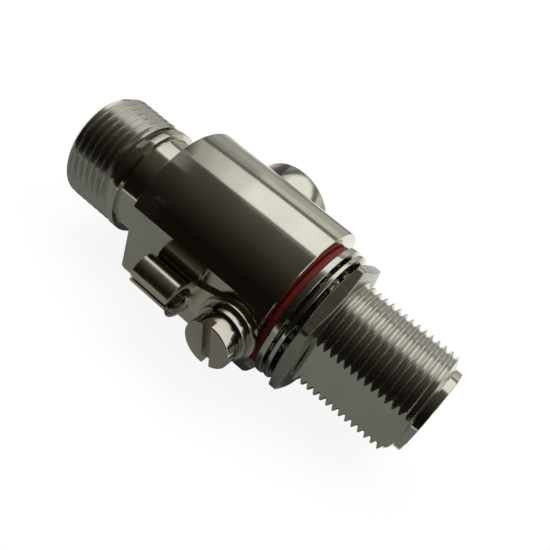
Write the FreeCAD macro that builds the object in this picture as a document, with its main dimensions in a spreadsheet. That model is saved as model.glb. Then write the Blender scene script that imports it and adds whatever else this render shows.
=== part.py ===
import FreeCAD, Part
import math
import os
import re
import Sketcher

# Coaxial lightning arrestor for a bulkhead, two N jacks in line, with a plug-in gas discharge tube
# Frame: origin at the middle of the barrel's panel-seating face, +X along the threaded shank,
# +Y out through the gas tube's cap, -Y out through the ground screw, +Z up. Millimetres

# Driving sizes: diameters, lengths, thicknesses and turns in degrees
SIZES = {
    "barrel_dia": 23.12,
    "barrel_length": 21.65,
    "barrel_edge": 0.3,
    "ground_flat_height": 10.15,
    "thread_dia": 15.8,
    "shank_length": 20.9,
    "shank_flat_height": 6.55,
    "nose_dia": 12.82,
    "nose_length": 1.08,
    "nose_edge": 0.25,
    "mouth_dia": 8.08,
    "mouth_depth": 9.1,
    "line_bore_dia": 7.0,
    "bead_dia": 8.2,
    "bead_length": 4.5,
    "bead_depth": 14.0,
    "jack_point_dia": 14.0,
    "jack_point_length": 0.9,
    "jack_thread_length": 7.5,
    "relief_dia": 14.8,
    "relief_width": 0.8,
    "collar_dia": 16.0,
    "collar_width": 1.2,
    "collar_edge": 0.2,
    "neck_dia": 14.4,
    "neck_length": 4.95,
    "spigot_dia": 12.6,
    "spigot_length": 3.3,
    "assembly_fit": 0.02,
    "pin_dia": 3.04,
    "pin_land_height": 1.3,
    "pin_stud_dia": 1.2,
    "pin_stud_length": 2.0,
    "socket_setback": 5.0,
    "socket_bore_dia": 1.66,
    "socket_bore_depth": 5.5,
    "socket_slot_width": 0.25,
    "socket_slot_length": 4.5,
    "tube_station": 12.6,
    "tube_clearance": 0.1,
    "electrode_dia": 8.0,
    "electrode_thickness": 1.2,
    "ceramic_dia": 7.7,
    "ceramic_height": 3.6,
    "cap_spring_height": 0.75,
    "cap_spring_sheet": 0.3,
    "cap_spring_dia": 7.4,
    "cap_spring_hole_dia": 3.0,
    "cap_shoulder_height": 5.4,
    "cap_thread_dia": 10.9,
    "cap_neck_gap": 0.2,
    "cap_hollow_gap": 0.15,
    "cap_dia": 13.2,
    "cap_height": 4.7,
    "cap_edge": 0.4,
    "cap_seat_depth": 2.11,
    "spot_face_gap": 0.1,
    "seal_wire": 0.75,
    "thread_clearance": 0.05,
    "washer_clearance": 0.1,
    "gasket_dia": 19.4,
    "gasket_thickness": 1.1,
    "panel_washer_dia": 20.4,
    "panel_washer_thickness": 0.85,
    "tooth_washer_dia": 20.2,
    "tooth_washer_height": 1.65,
    "tooth_rim_width": 1.1,
    "tooth_sheet": 0.55,
    "tooth_count": 20,
    "tooth_twist": 50,
    "tooth_turn": 15.6,
    "nut_flats": 19.0,
    "nut_thickness": 2.0,
    "nut_chamfer_dia": 18.2,
    "nut_chamfer_angle": 15,
    "nut_turn": 25.5,
    "ground_station": 3.65,
    "ground_hole_depth": 4.85,
    "screw_dia": 3.9,
    "screw_length": 6.0,
    "screw_head_dia": 6.8,
    "screw_head_height": 2.6,
    "screw_head_edge": 0.2,
    "screw_slot_width": 1.2,
    "screw_slot_depth": 1.2,
    "screw_turn": 13.5,
    "screw_hole_dia": 4.3,
    "flat_washer_dia": 8.74,
    "flat_washer_thickness": 0.5,
    "spring_washer_dia": 7.6,
    "spring_washer_thickness": 1.1,
    "spring_washer_split": 0.7,
    "spring_washer_turn": 200,
    "lug_sheet": 0.6,
    "lug_ring_dia": 8.0,
    "lug_neck_width": 4.4,
    "lug_neck_reach": 6.0,
    "lug_gutter_length": 1.2,
    "lug_barrel_dia": 4.5,
    "lug_barrel_length": 5.8,
    "lug_seam_gap": 0.4,
    "lug_turn": 1,
}

doc = FreeCAD.newDocument("coax_lightning_arrestor")
sheet = doc.addObject("Spreadsheet::Sheet", "Sizes")
for row, (name, value) in enumerate(SIZES.items(), start=1):
    sheet.set(f"A{row}", name)
    sheet.set(f"B{row}", str(value))
    sheet.setAlias(f"B{row}", name)
doc.recompute()

PIECES = []


# Names worked out from the sheet, written once and used in the outlines below
DERIVED = {
    "nose_end": "(shank_length + nose_length)",
    "line_face": "(-barrel_length - neck_length - collar_width - relief_width - jack_thread_length)",
    "relief_start": "(-barrel_length - neck_length - collar_width - relief_width)",
    "collar_start": "(-barrel_length - neck_length - collar_width)",
    "spigot_end": "(-barrel_length + spigot_length)",
    "bulkhead_bead_seat": "(nose_end - bead_depth)",
    "line_bead_seat": "(line_face + bead_depth)",
    "tube_hole_dia": "(electrode_dia + 2 * tube_clearance)",
    "tube_top": "(pin_land_height + 2 * electrode_thickness + ceramic_height)",
    "cap_ceiling": "(tube_top + cap_spring_height)",
    "cap_seat_height": "(barrel_dia / 2 - cap_seat_depth)",
    "washer_bore": "(thread_dia + 2 * washer_clearance)",
    "panel_washer_end": "(gasket_thickness + panel_washer_thickness)",
    "tooth_washer_end": "(panel_washer_end + tooth_washer_height)",
    "tooth_rim_dia": "(tooth_washer_dia - 2 * tooth_rim_width)",
    "nut_corner_dia": "(nut_flats / cos(30))",
    "lug_top": "(ground_flat_height + lug_sheet)",
    "flat_washer_top": "(lug_top + flat_washer_thickness)",
    "screw_seat": "(flat_washer_top + spring_washer_thickness)",
}


def bound(formula):
    """Write a formula in size names as an expression that reads the sheet."""
    text = str(formula)
    while re.search(r"\b(" + "|".join(DERIVED) + r")\b", text):
        text = re.sub(r"\b(" + "|".join(DERIVED) + r")\b", lambda word: DERIVED[word.group()], text)
    return re.sub(r"\b(" + "|".join(SIZES) + r")\b", r"Sizes.\1", text)


def new_body(label):
    """Start a sub-part: one body whose Label names its file."""
    body = doc.addObject("PartDesign::Body", label)
    body.Label = label
    PIECES.append(body)
    return body


def origin_feature(body, role):
    return [item for item in body.Origin.OriginFeatures if item.Role == role][0]


def outline_sketch(body, role, corners, offset=None):
    """A closed outline on an origin plane, every corner placed by two bound distances."""
    sketch = body.newObject("Sketcher::SketchObject", "Outline")
    sketch.AttachmentSupport = (origin_feature(body, role), [""])
    sketch.MapMode = "FlatFace"
    for axis, formula in (offset or {}).items():
        sketch.setExpression(f"AttachmentOffset.Base.{axis}", bound(formula))
    count = len(corners)
    turns = [2 * math.pi * index / count for index in range(count)]
    start = [FreeCAD.Vector(math.cos(turn), math.sin(turn), 0) for turn in turns]
    for index in range(count):
        line = Part.LineSegment(start[index], start[(index + 1) % count])
        sketch.addGeometry(line, False)
    for index in range(count):
        sketch.addConstraint(Sketcher.Constraint("Coincident", index, 2, (index + 1) % count, 1))
    for index, corner in enumerate(corners):
        for kind, formula, first in zip(("DistanceX", "DistanceY"), corner, start[index]):
            distance = Sketcher.Constraint(kind, -1, 1, index, 1, first)
            number = sketch.addConstraint(distance)
            sketch.setExpression(f"Constraints[{number}]", bound(formula))
    return sketch


def turn(body, corners, axis="H_Axis", offset=None, cut=False):
    """Turn an outline on the XY plane about the sketch's own X or Y axis, adding or cutting."""
    kind = "PartDesign::Groove" if cut else "PartDesign::Revolution"
    sketch = outline_sketch(body, "XY_Plane", corners, offset)
    feature = body.newObject(kind, "Turning")
    feature.Profile = sketch
    feature.ReferenceAxis = (sketch, [axis])
    feature.Angle = 360
    return feature


def extrude(body, role, corners, length, cut=False, reverse=False, midplane=False, offset=None):
    """Pad or pocket an outline drawn on an origin plane."""
    kind = "PartDesign::Pocket" if cut else "PartDesign::Pad"
    feature = body.newObject(kind, "Milling")
    feature.Profile = outline_sketch(body, role, corners, offset)
    feature.setExpression("Length", bound(length))
    feature.Reversed = reverse
    feature.Midplane = midplane
    return feature


def rectangle(left, right, low, high):
    return [(left, low), (right, low), (right, high), (left, high)]


def ring(start, end, inner, outer):
    """Outline of a plain ring about X, from two stations and two diameters."""
    return rectangle(start, end, f"{inner} / 2", f"{outer} / 2")


def standing_ring(low, high, inner, outer):
    """Outline of a plain ring about Y, from two heights and two diameters."""
    return rectangle(f"{inner} / 2", f"{outer} / 2", low, high)


def place(piece, station=0, height=0, axis=(1, 0, 0), angle=0):
    """Set a piece's Placement: where its own origin lies and how it is turned."""
    rotation = FreeCAD.Rotation(FreeCAD.Vector(*axis), 1)
    piece.Placement = FreeCAD.Placement(FreeCAD.Vector(0, 0, 0), rotation)
    piece.setExpression("Placement.Base.x", bound(station))
    piece.setExpression("Placement.Base.y", bound(height))
    piece.setExpression("Placement.Rotation.Angle", bound(angle))


def make_body():
    """Barrel, threaded shank and nose turned in one, bored through, with flats and two side holes."""
    body = new_body("body")
    turn(body, [
        ("-barrel_length", "(spigot_dia + 2 * assembly_fit) / 2"),
        ("-barrel_length", "barrel_dia / 2 - barrel_edge"),
        ("-barrel_length + barrel_edge", "barrel_dia / 2"),
        ("-barrel_edge", "barrel_dia / 2"),
        ("0", "barrel_dia / 2 - barrel_edge"),
        ("0", "thread_dia / 2"),
        ("shank_length - (thread_dia - nose_dia) / 6", "thread_dia / 2"),
        ("shank_length", "nose_dia / 2"),
        ("nose_end - nose_edge", "nose_dia / 2"),
        ("nose_end", "nose_dia / 2 - nose_edge"),
        ("nose_end", "mouth_dia / 2"),
        ("nose_end - mouth_depth", "mouth_dia / 2"),
        ("nose_end - mouth_depth", "line_bore_dia / 2"),
        ("bulkhead_bead_seat", "line_bore_dia / 2"),
        ("bulkhead_bead_seat", "bead_dia / 2"),
        ("spigot_end + assembly_fit", "bead_dia / 2"),
        ("spigot_end + assembly_fit", "(spigot_dia + 2 * assembly_fit) / 2"),
    ])
    beyond = "-barrel_dia / 2"
    side = "barrel_dia / 2"
    ground_flat = rectangle(beyond, "-ground_flat_height", f"-{side}", side)
    extrude(body, "YZ_Plane", ground_flat, "barrel_length", cut=True)
    shank_flat = rectangle(beyond, "-shank_flat_height", f"-{side}", side)
    extrude(body, "YZ_Plane", shank_flat, "shank_length", cut=True, reverse=True)
    turn(body, [
        ("0", "0"),
        ("tube_hole_dia / 2", "0"),
        ("tube_hole_dia / 2", "cap_shoulder_height"),
        ("cap_thread_dia / 2 + thread_clearance", "cap_shoulder_height"),
        ("cap_thread_dia / 2 + thread_clearance", "cap_seat_height"),
        ("cap_dia / 2 + spot_face_gap", "cap_seat_height"),
        ("cap_dia / 2 + spot_face_gap", "barrel_dia / 2 + barrel_edge"),
        ("0", "barrel_dia / 2 + barrel_edge"),
    ], "V_Axis", {"x": "-tube_station"}, cut=True)
    turn(body, [
        ("0", "-ground_flat_height - barrel_edge"),
        ("screw_dia / 2 + thread_clearance", "-ground_flat_height - barrel_edge"),
        ("screw_dia / 2 + thread_clearance", "-ground_flat_height + ground_hole_depth"),
        ("0", "-ground_flat_height + ground_hole_depth"),
    ], "V_Axis", {"x": "-ground_station"}, cut=True)


def make_line_jack():
    """Jack on the line side: threaded mouth, relief, collar and neck, with a spigot in the barrel."""
    body = new_body("line_jack")
    turn(body, [
        ("line_face", "mouth_dia / 2"),
        ("line_face", "jack_point_dia / 2"),
        ("line_face + jack_point_length", "thread_dia / 2"),
        ("relief_start", "thread_dia / 2"),
        ("relief_start", "relief_dia / 2"),
        ("collar_start", "relief_dia / 2"),
        ("collar_start", "collar_dia / 2 - collar_edge"),
        ("collar_start + collar_edge", "collar_dia / 2"),
        ("collar_start + collar_width - collar_edge", "collar_dia / 2"),
        ("collar_start + collar_width", "collar_dia / 2 - collar_edge"),
        ("collar_start + collar_width", "neck_dia / 2"),
        ("-barrel_length", "neck_dia / 2"),
        ("-barrel_length", "spigot_dia / 2"),
        ("spigot_end", "spigot_dia / 2"),
        ("spigot_end", "bead_dia / 2"),
        ("line_bead_seat", "bead_dia / 2"),
        ("line_bead_seat", "line_bore_dia / 2"),
        ("line_face + mouth_depth", "line_bore_dia / 2"),
        ("line_face + mouth_depth", "mouth_dia / 2"),
    ])


def make_center_pin():
    """Inner conductor between the beads, with a stud for each socket and a land under the tube."""
    body = new_body("center_pin")
    turn(body, [
        ("line_bead_seat - pin_stud_length", "0"),
        ("line_bead_seat - pin_stud_length", "pin_stud_dia / 2"),
        ("line_bead_seat", "pin_stud_dia / 2"),
        ("line_bead_seat", "pin_dia / 2"),
        ("bulkhead_bead_seat", "pin_dia / 2"),
        ("bulkhead_bead_seat", "pin_stud_dia / 2"),
        ("bulkhead_bead_seat + pin_stud_length", "pin_stud_dia / 2"),
        ("bulkhead_bead_seat + pin_stud_length", "0"),
    ])
    reach = "electrode_dia / 2 + tube_clearance"
    land = rectangle(f"-tube_station - ({reach})", f"-tube_station + {reach}", "pin_land_height", "pin_dia")
    extrude(body, "XY_Plane", land, "2 * pin_dia", cut=True, midplane=True)


def make_socket(label, tip, angle):
    """Slotted spring socket: tip at its own origin, its back end bored for the pin's stud."""
    body = new_body(label)
    back = "-(bead_depth - socket_setback)"
    stud_bore = "pin_stud_dia / 2 + assembly_fit"
    turn(body, [
        (back, stud_bore),
        (back, "pin_dia / 2"),
        ("0", "pin_dia / 2"),
        ("0", "socket_bore_dia / 2"),
        ("-socket_bore_depth", "socket_bore_dia / 2"),
        ("-socket_bore_depth", "0"),
        (f"{back} + pin_stud_length + assembly_fit", "0"),
        (f"{back} + pin_stud_length + assembly_fit", stud_bore),
    ])
    across = ("-socket_slot_width / 2", "socket_slot_width / 2")
    along = ("-pin_dia", "pin_dia")
    extrude(body, "YZ_Plane", rectangle(*across, *along), "socket_slot_length", cut=True)
    extrude(body, "YZ_Plane", rectangle(*along, *across), "socket_slot_length", cut=True)
    place(body, tip, 0, (0, 1, 0), angle)


def make_insulator(label, seat, inward):
    """Bead that holds the inner conductor in the middle of its bore."""
    body = new_body(label)
    end = f"{seat} {inward} bead_length"
    turn(body, ring(seat, end, "(pin_dia + 2 * assembly_fit)", "(bead_dia - 2 * assembly_fit)"))


def make_gas_tube():
    """Gas discharge tube: two metal electrodes brazed to a ceramic tube."""
    low = "pin_land_height"
    inner_top = f"{low} + electrode_thickness"
    outer_low = f"{inner_top} + ceramic_height"
    for label, start, end in (
        ("gas_tube_inner_electrode", low, inner_top),
        ("gas_tube_outer_electrode", outer_low, "tube_top"),
    ):
        body = new_body(label)
        turn(body, rectangle("0", "electrode_dia / 2", start, end), "V_Axis")
        place(body, "-tube_station")
    body = new_body("gas_tube_ceramic")
    bore = "ceramic_dia - 2 * electrode_thickness"
    turn(body, standing_ring(inner_top, outer_low, f"({bore})", "ceramic_dia"), "V_Axis")
    place(body, "-tube_station")


def make_cap_spring():
    """Cupped spring washer between the gas tube and the cap's ceiling."""
    body = new_body("cap_spring")
    turn(body, [
        ("cap_spring_hole_dia / 2", "tube_top"),
        ("cap_spring_hole_dia / 2", "tube_top + cap_spring_sheet"),
        ("cap_spring_dia / 2", "cap_ceiling"),
        ("cap_spring_dia / 2", "cap_ceiling - cap_spring_sheet"),
    ], "V_Axis")
    place(body, "-tube_station")


def make_gas_cap():
    """Round screw cap over the gas tube: hollow threaded neck, plain head and a seal groove."""
    body = new_body("gas_cap")
    hollow = "tube_hole_dia / 2 + cap_hollow_gap"
    head_top = "cap_seat_height + cap_height"
    groove_top = "cap_seat_height + seal_wire"
    groove_side = "cap_thread_dia / 2 + seal_wire + thread_clearance"
    turn(body, [
        ("0", "cap_ceiling"),
        (hollow, "cap_ceiling"),
        (hollow, "cap_shoulder_height + cap_neck_gap"),
        ("cap_thread_dia / 2", "cap_shoulder_height + cap_neck_gap"),
        ("cap_thread_dia / 2", groove_top),
        (groove_side, groove_top),
        (groove_side, "cap_seat_height"),
        ("cap_dia / 2", "cap_seat_height"),
        ("cap_dia / 2", f"{head_top} - cap_edge"),
        ("cap_dia / 2 - cap_edge", head_top),
        ("0", head_top),
    ], "V_Axis")
    place(body, "-tube_station")


def make_cap_seal():
    """Sealing ring in the groove under the cap's head, its section a hexagon close to round."""
    body = new_body("cap_seal")
    middle_radius = "(cap_thread_dia + seal_wire + thread_clearance) / 2"
    middle_height = "cap_seat_height + seal_wire / 2"
    corners = []
    for angle in range(30, 390, 60):
        across = f"{middle_radius} + seal_wire / 2 * cos({angle})"
        up = f"{middle_height} + seal_wire / 2 * sin({angle})"
        corners.append((across, up))
    turn(body, corners, "V_Axis")
    place(body, "-tube_station")


def make_panel_gasket():
    """Soft ring between the barrel and the panel."""
    turn(new_body("panel_gasket"), ring("0", "gasket_thickness", "washer_bore", "gasket_dia"))


def make_panel_washer():
    """Flat washer on the far side of the panel, closed up to the gasket as supplied."""
    body = new_body("panel_washer")
    turn(body, ring("gasket_thickness", "panel_washer_end", "washer_bore", "panel_washer_dia"))


def tooth_corners(twist, thickness):
    """Corners of a tooth's section, turned in its own plane, centred on the washer's thickness."""
    middle = "(panel_washer_end + tooth_washer_height / 2)"
    width = "((tooth_washer_height - tooth_sheet * cos(tooth_twist)) / sin(tooth_twist))"
    corners = []
    for wide, thick in ((-1, -1), (1, -1), (1, 1), (-1, 1)):
        along = f"{middle} + {wide} * {width} / 2 * sin({twist}) + {thick} * ({thickness}) / 2 * cos({twist})"
        across = f"{wide} * {width} / 2 * cos({twist}) - {thick} * ({thickness}) / 2 * sin({twist})"
        corners.append((along, across))
    return corners


def make_tooth_washer():
    """Lock washer with twisted teeth all round its inside: each tooth turns in two equal steps."""
    body = new_body("tooth_washer")
    middle = "(panel_washer_end + tooth_washer_height / 2)"
    rim = ring(f"{middle} - tooth_sheet / 2", f"{middle} + tooth_sheet / 2", "tooth_rim_dia", "tooth_washer_dia")
    turn(body, rim)
    root = "(tooth_rim_dia / 2 + tooth_rim_width / 10)"
    knee = "((tooth_rim_dia + washer_bore) / 4)"
    steps = (
        ("tooth_twist / 2", root, knee),
        ("tooth_twist", f"({knee} + assembly_fit)", "washer_bore / 2"),
    )
    tooth = []
    for twist, far, near in steps:
        section = tooth_corners(twist, "tooth_sheet")
        tooth.append(extrude(body, "XZ_Plane", section, f"{far} - {near}", offset={"z": f"-{far}"}))
    teeth = body.newObject("PartDesign::PolarPattern", "Teeth")
    teeth.Originals = tooth
    teeth.Axis = (origin_feature(body, "X_Axis"), [""])
    teeth.Angle = 360
    teeth.setExpression("Occurrences", bound("tooth_count"))
    body.Tip = teeth
    place(body, 0, 0, (1, 0, 0), "tooth_turn")


def make_hex_nut():
    """Thin hexagon panel nut, chamfered on both faces."""
    body = new_body("hex_nut")
    corners = []
    for step in range(6):
        corners.append((f"nut_corner_dia / 2 * cos({60 * step})", f"nut_corner_dia / 2 * sin({60 * step})"))
    extrude(body, "YZ_Plane", corners, "nut_thickness", offset={"z": "tooth_washer_end"})
    outside = "nut_corner_dia / 2 + nut_thickness"
    drop = f"({outside} - nut_chamfer_dia / 2) * tan(nut_chamfer_angle)"
    nut_end = "(tooth_washer_end + nut_thickness)"
    for face, inward in (("tooth_washer_end", "+"), (nut_end, "-")):
        chamfer = [(face, "nut_chamfer_dia / 2"), (face, outside), (f"{face} {inward} {drop}", outside)]
        turn(body, chamfer, cut=True)
    bore = "thread_dia / 2 + thread_clearance"
    turn(body, rectangle("tooth_washer_end", nut_end, "0", bore), cut=True)
    place(body, 0, 0, (1, 0, 0), "nut_turn")


def make_ground_screw():
    """Slotted cheese-head machine screw of the ground terminal."""
    body = new_body("ground_screw")
    head_top = "-screw_seat - screw_head_height"
    turn(body, [
        ("0", "-screw_seat + screw_length"),
        ("screw_dia / 2 - screw_head_edge", "-screw_seat + screw_length"),
        ("screw_dia / 2", "-screw_seat + screw_length - screw_head_edge"),
        ("screw_dia / 2", "-screw_seat"),
        ("screw_head_dia / 2", "-screw_seat"),
        ("screw_head_dia / 2", f"{head_top} + screw_head_edge"),
        ("screw_head_dia / 2 - screw_head_edge", head_top),
        ("0", head_top),
    ], "V_Axis")
    slot = rectangle(
        "-screw_slot_width / 2", "screw_slot_width / 2", f"{head_top} - screw_head_edge",
        f"{head_top} + screw_slot_depth")
    extrude(body, "XY_Plane", slot, "2 * screw_head_dia", cut=True, midplane=True)
    place(body, "-ground_station", 0, (0, 1, 0), "-screw_turn")


def make_flat_washer():
    """Flat washer on the lug."""
    body = new_body("flat_washer")
    turn(body, standing_ring("-flat_washer_top", "-lug_top", "screw_hole_dia", "flat_washer_dia"), "V_Axis")
    place(body, "-ground_station")


def make_spring_washer():
    """Split spring washer under the screw's head, pressed flat."""
    body = new_body("spring_washer")
    outline = standing_ring("-screw_seat", "-flat_washer_top", "screw_hole_dia", "spring_washer_dia")
    turn(body, outline, "V_Axis")
    lean = "spring_washer_thickness / 2"
    split = [
        ("-spring_washer_split / 2 - " + lean, "-screw_seat"),
        ("spring_washer_split / 2 - " + lean, "-screw_seat"),
        ("spring_washer_split / 2 + " + lean, "-flat_washer_top"),
        ("-spring_washer_split / 2 + " + lean, "-flat_washer_top"),
    ]
    extrude(body, "XY_Plane", split, "spring_washer_dia", cut=True, reverse=True)
    place(body, "-ground_station", 0, (0, 1, 0), "spring_washer_turn")


def lug_section(reach, half_width, bend, thickness):
    """Section of the lug's sheet across its length, flat or rolled up by a half angle of bend."""
    def point(radius, angle):
        height = thickness / 2 + half_width / bend - radius * math.cos(angle)
        return FreeCAD.Vector(-reach, -height, radius * math.sin(angle))

    if bend == 0:
        sides = ((-1, 0), (1, 0), (1, 1), (-1, 1))
        flat = [FreeCAD.Vector(-reach, -up * thickness, side * half_width) for side, up in sides]
        return Part.makePolygon(flat + flat[:1])
    outer = half_width / bend + thickness / 2
    inner = half_width / bend - thickness / 2
    below = Part.Arc(point(outer, -bend), point(outer, 0), point(outer, bend)).toShape()
    right = Part.makeLine(point(outer, bend), point(inner, bend))
    above = Part.Arc(point(inner, bend), point(inner, 0), point(inner, -bend)).toShape()
    left = Part.makeLine(point(inner, -bend), point(outer, -bend))
    return Part.Wire([below, right, above, left])


def make_ground_lug():
    """Crimp lug folded from one sheet: ring tongue, a gutter that rolls up, and an open crimp barrel."""
    thickness = sheet.get("lug_sheet")
    neck_half = sheet.get("lug_neck_width") / 2
    neck_reach = sheet.get("lug_neck_reach")
    gutter_length = sheet.get("lug_gutter_length")
    ring_radius = sheet.get("lug_ring_dia") / 2
    mean_radius = (sheet.get("lug_barrel_dia") - thickness) / 2
    full_half = math.pi * mean_radius - sheet.get("lug_seam_gap") / 2
    full_bend = full_half / mean_radius
    sections = []
    steps = 3
    for step in range(steps + 1):
        share = step / steps
        half_width = neck_half + share * (full_half - neck_half)
        reach = neck_reach + share * gutter_length
        sections.append(lug_section(reach, half_width, share * full_bend, thickness))
    gutter = Part.makeLoft(sections, True, True)
    barrel_run = FreeCAD.Vector(-sheet.get("lug_barrel_length"), 0, 0)
    barrel = Part.Face(sections[-1]).extrude(barrel_run)
    outward = FreeCAD.Vector(0, -1, 0)
    disc = Part.makeCylinder(ring_radius, thickness, FreeCAD.Vector(0, 0, 0), outward)
    neck_angle = math.atan2(neck_half, neck_reach)
    tangent_angle = neck_angle + math.acos(ring_radius / math.hypot(neck_half, neck_reach))
    tangent_reach = ring_radius * math.cos(tangent_angle)
    tangent_half = ring_radius * math.sin(tangent_angle)
    edge = [
        FreeCAD.Vector(-tangent_reach, 0, -tangent_half),
        FreeCAD.Vector(-neck_reach, 0, -neck_half),
        FreeCAD.Vector(-neck_reach, 0, neck_half),
        FreeCAD.Vector(-tangent_reach, 0, tangent_half),
    ]
    tongue = Part.Face(Part.makePolygon(edge + edge[:1])).extrude(outward * thickness)
    hole_radius = sheet.get("screw_hole_dia") / 2
    hole = Part.makeCylinder(hole_radius, thickness, FreeCAD.Vector(0, 0, 0), outward)
    lug = doc.addObject("Part::Feature", "ground_lug")
    lug.Label = "ground_lug"
    lug.Shape = disc.fuse([tongue, gutter, barrel]).cut(hole).removeSplitter()
    PIECES.append(lug)
    place(lug, "-ground_station", "-ground_flat_height", (0, 1, 0), "lug_turn")


make_body()
make_line_jack()
make_center_pin()
make_socket("socket_bulkhead", "nose_end - socket_setback", "0")
make_socket("socket_line", "line_face + socket_setback", "180")
make_insulator("insulator_bulkhead", "bulkhead_bead_seat", "-")
make_insulator("insulator_line", "line_bead_seat", "+")
make_gas_tube()
make_cap_spring()
make_gas_cap()
make_cap_seal()
make_panel_gasket()
make_panel_washer()
make_tooth_washer()
make_hex_nut()
make_ground_screw()
make_flat_washer()
make_spring_washer()
make_ground_lug()
doc.recompute()

for item in doc.Objects:
    if "Invalid" in item.State or "Error" in item.State:
        raise RuntimeError(f"{item.Label} did not recompute: {item.State}")
for piece in PIECES:
    if piece.Shape.isNull() or not piece.Shape.isValid():
        raise RuntimeError(f"{piece.Label} has no valid shape")
    if len(piece.Shape.Solids) != 1:
        raise RuntimeError(f"{piece.Label} has {len(piece.Shape.Solids)} solids")

os.makedirs("parts", exist_ok=True)
for piece in PIECES:
    piece.Shape.exportStep(f"parts/{piece.Label}.step")
    box = piece.Shape.BoundBox
    print(f"{piece.Label}: {piece.Shape.Volume:.2f} mm3, x {box.XMin:.2f} to {box.XMax:.2f}, "
          f"y {box.YMin:.2f} to {box.YMax:.2f}, z {box.ZMin:.2f} to {box.ZMax:.2f}")
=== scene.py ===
import math

import bmesh
import bpy
from mathutils import Matrix, Vector


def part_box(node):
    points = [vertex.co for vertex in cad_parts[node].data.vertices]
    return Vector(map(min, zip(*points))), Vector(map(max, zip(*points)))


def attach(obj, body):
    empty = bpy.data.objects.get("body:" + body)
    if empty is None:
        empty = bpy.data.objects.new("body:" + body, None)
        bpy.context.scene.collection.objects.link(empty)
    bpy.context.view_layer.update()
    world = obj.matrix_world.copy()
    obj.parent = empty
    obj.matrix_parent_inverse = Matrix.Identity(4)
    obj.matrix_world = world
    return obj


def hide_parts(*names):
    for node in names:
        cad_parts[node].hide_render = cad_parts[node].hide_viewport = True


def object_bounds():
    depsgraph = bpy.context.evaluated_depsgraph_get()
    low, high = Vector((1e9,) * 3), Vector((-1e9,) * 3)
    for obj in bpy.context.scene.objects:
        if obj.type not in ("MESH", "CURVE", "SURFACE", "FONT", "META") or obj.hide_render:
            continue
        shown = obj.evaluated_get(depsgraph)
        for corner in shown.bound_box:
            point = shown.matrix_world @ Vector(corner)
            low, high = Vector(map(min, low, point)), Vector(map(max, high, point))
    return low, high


# Looks of a coaxial lightning arrestor. Sizes below are in millimetres, in the model's own frame
MM = 0.001
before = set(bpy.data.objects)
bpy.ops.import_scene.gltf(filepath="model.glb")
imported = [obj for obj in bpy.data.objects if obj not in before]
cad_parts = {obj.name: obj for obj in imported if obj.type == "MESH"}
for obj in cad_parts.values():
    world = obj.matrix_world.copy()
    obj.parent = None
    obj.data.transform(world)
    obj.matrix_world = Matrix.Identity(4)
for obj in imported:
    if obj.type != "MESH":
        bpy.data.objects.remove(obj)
cad_low, cad_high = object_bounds()


def span(node, axis):
    """Lowest and highest place of a solid along one axis, in millimetres."""
    low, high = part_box(node)
    return low[axis] / MM, high[axis] / MM


X, Y, Z = 0, 1, 2
AXIS_X = (Vector((1, 0, 0)), Vector((0, 1, 0)), Vector((0, 0, 1)))
AXIS_UP = (Vector((0, 1, 0)), Vector((0, 0, 1)), Vector((1, 0, 0)))
AXIS_DOWN = (Vector((0, -1, 0)), Vector((1, 0, 0)), Vector((0, 0, 1)))

# Connector thread, 24 turns to the inch
PITCH = 25.4 / 24
CREST_RADIUS = 7.93
ROOT_RADIUS = 7.29
SHANK_CREST = 0.0
JACK_CREST = -33.91
THREAD_STEPS = 240

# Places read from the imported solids, and the sizes of the part between them
LINE_FACE, BULKHEAD_FACE = span("line_jack", X)[0], span("body", X)[1]
BARREL_START, SHANK_START = span("body", X)[0], 0.0
BARREL_RADIUS = span("body", Z)[1]
SPIGOT_END = span("line_jack", X)[1]
GROUND_FLAT = 10.15
SHANK_FLAT = 6.55
SHANK_END = 20.9
NOSE_RADIUS = 6.41
MOUTH_RADIUS = 4.04
MOUTH_DEPTH = 9.1
LINE_RADIUS = 3.5
BEAD_RADIUS = 4.1
BEAD_DEPTH = 14.0
SPIGOT_RADIUS = 6.3
CAP_LOW, CAP_HIGH = span("gas_cap", Y)
CAP_RADIUS = (span("gas_cap", X)[1] - span("gas_cap", X)[0]) / 2
CAP_STATION = sum(span("gas_cap", X)) / 2
CAP_SEAT = 9.45
CAP_PLAY = 0.1
THREAD_PLAY = 0.05
TUBE_HOLE_RADIUS = 4.1
TUBE_HOLE_SHELF = 5.4
CAP_THREAD_RADIUS = 5.45
CAP_HOLLOW_RADIUS = 4.25
CAP_CEILING = span("cap_spring", Y)[1]
SCREW_STATION = sum(span("ground_screw", X)) / 2
SCREW_TIP, SCREW_TOP = -span("ground_screw", Y)[1], -span("ground_screw", Y)[0]
SCREW_HEAD_HEIGHT = 2.6
SCREW_HEAD_RADIUS = 3.4
SCREW_RADIUS = 1.95
SCREW_TURN = 13.5
SCREW_HOLE_END = 5.3
WASHER_BORE_RADIUS = 8.0
LUG_WASHER_BORE_RADIUS = 2.15
LUG_TURN = 1
SLOT_WIDTH = 1.2
SLOT_DEPTH = 1.2

# A face with more corners than this is a milled flat, shaded flat up to its edge
MANY_CORNERS = 60
# Vertices nearer to each other than this are one
MERGE = 1e-5
# Lengths and bends below this count as none
TINY = 1e-6
# The most of a side that one rounded corner takes
SIDE_SHARE = 0.45


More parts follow.
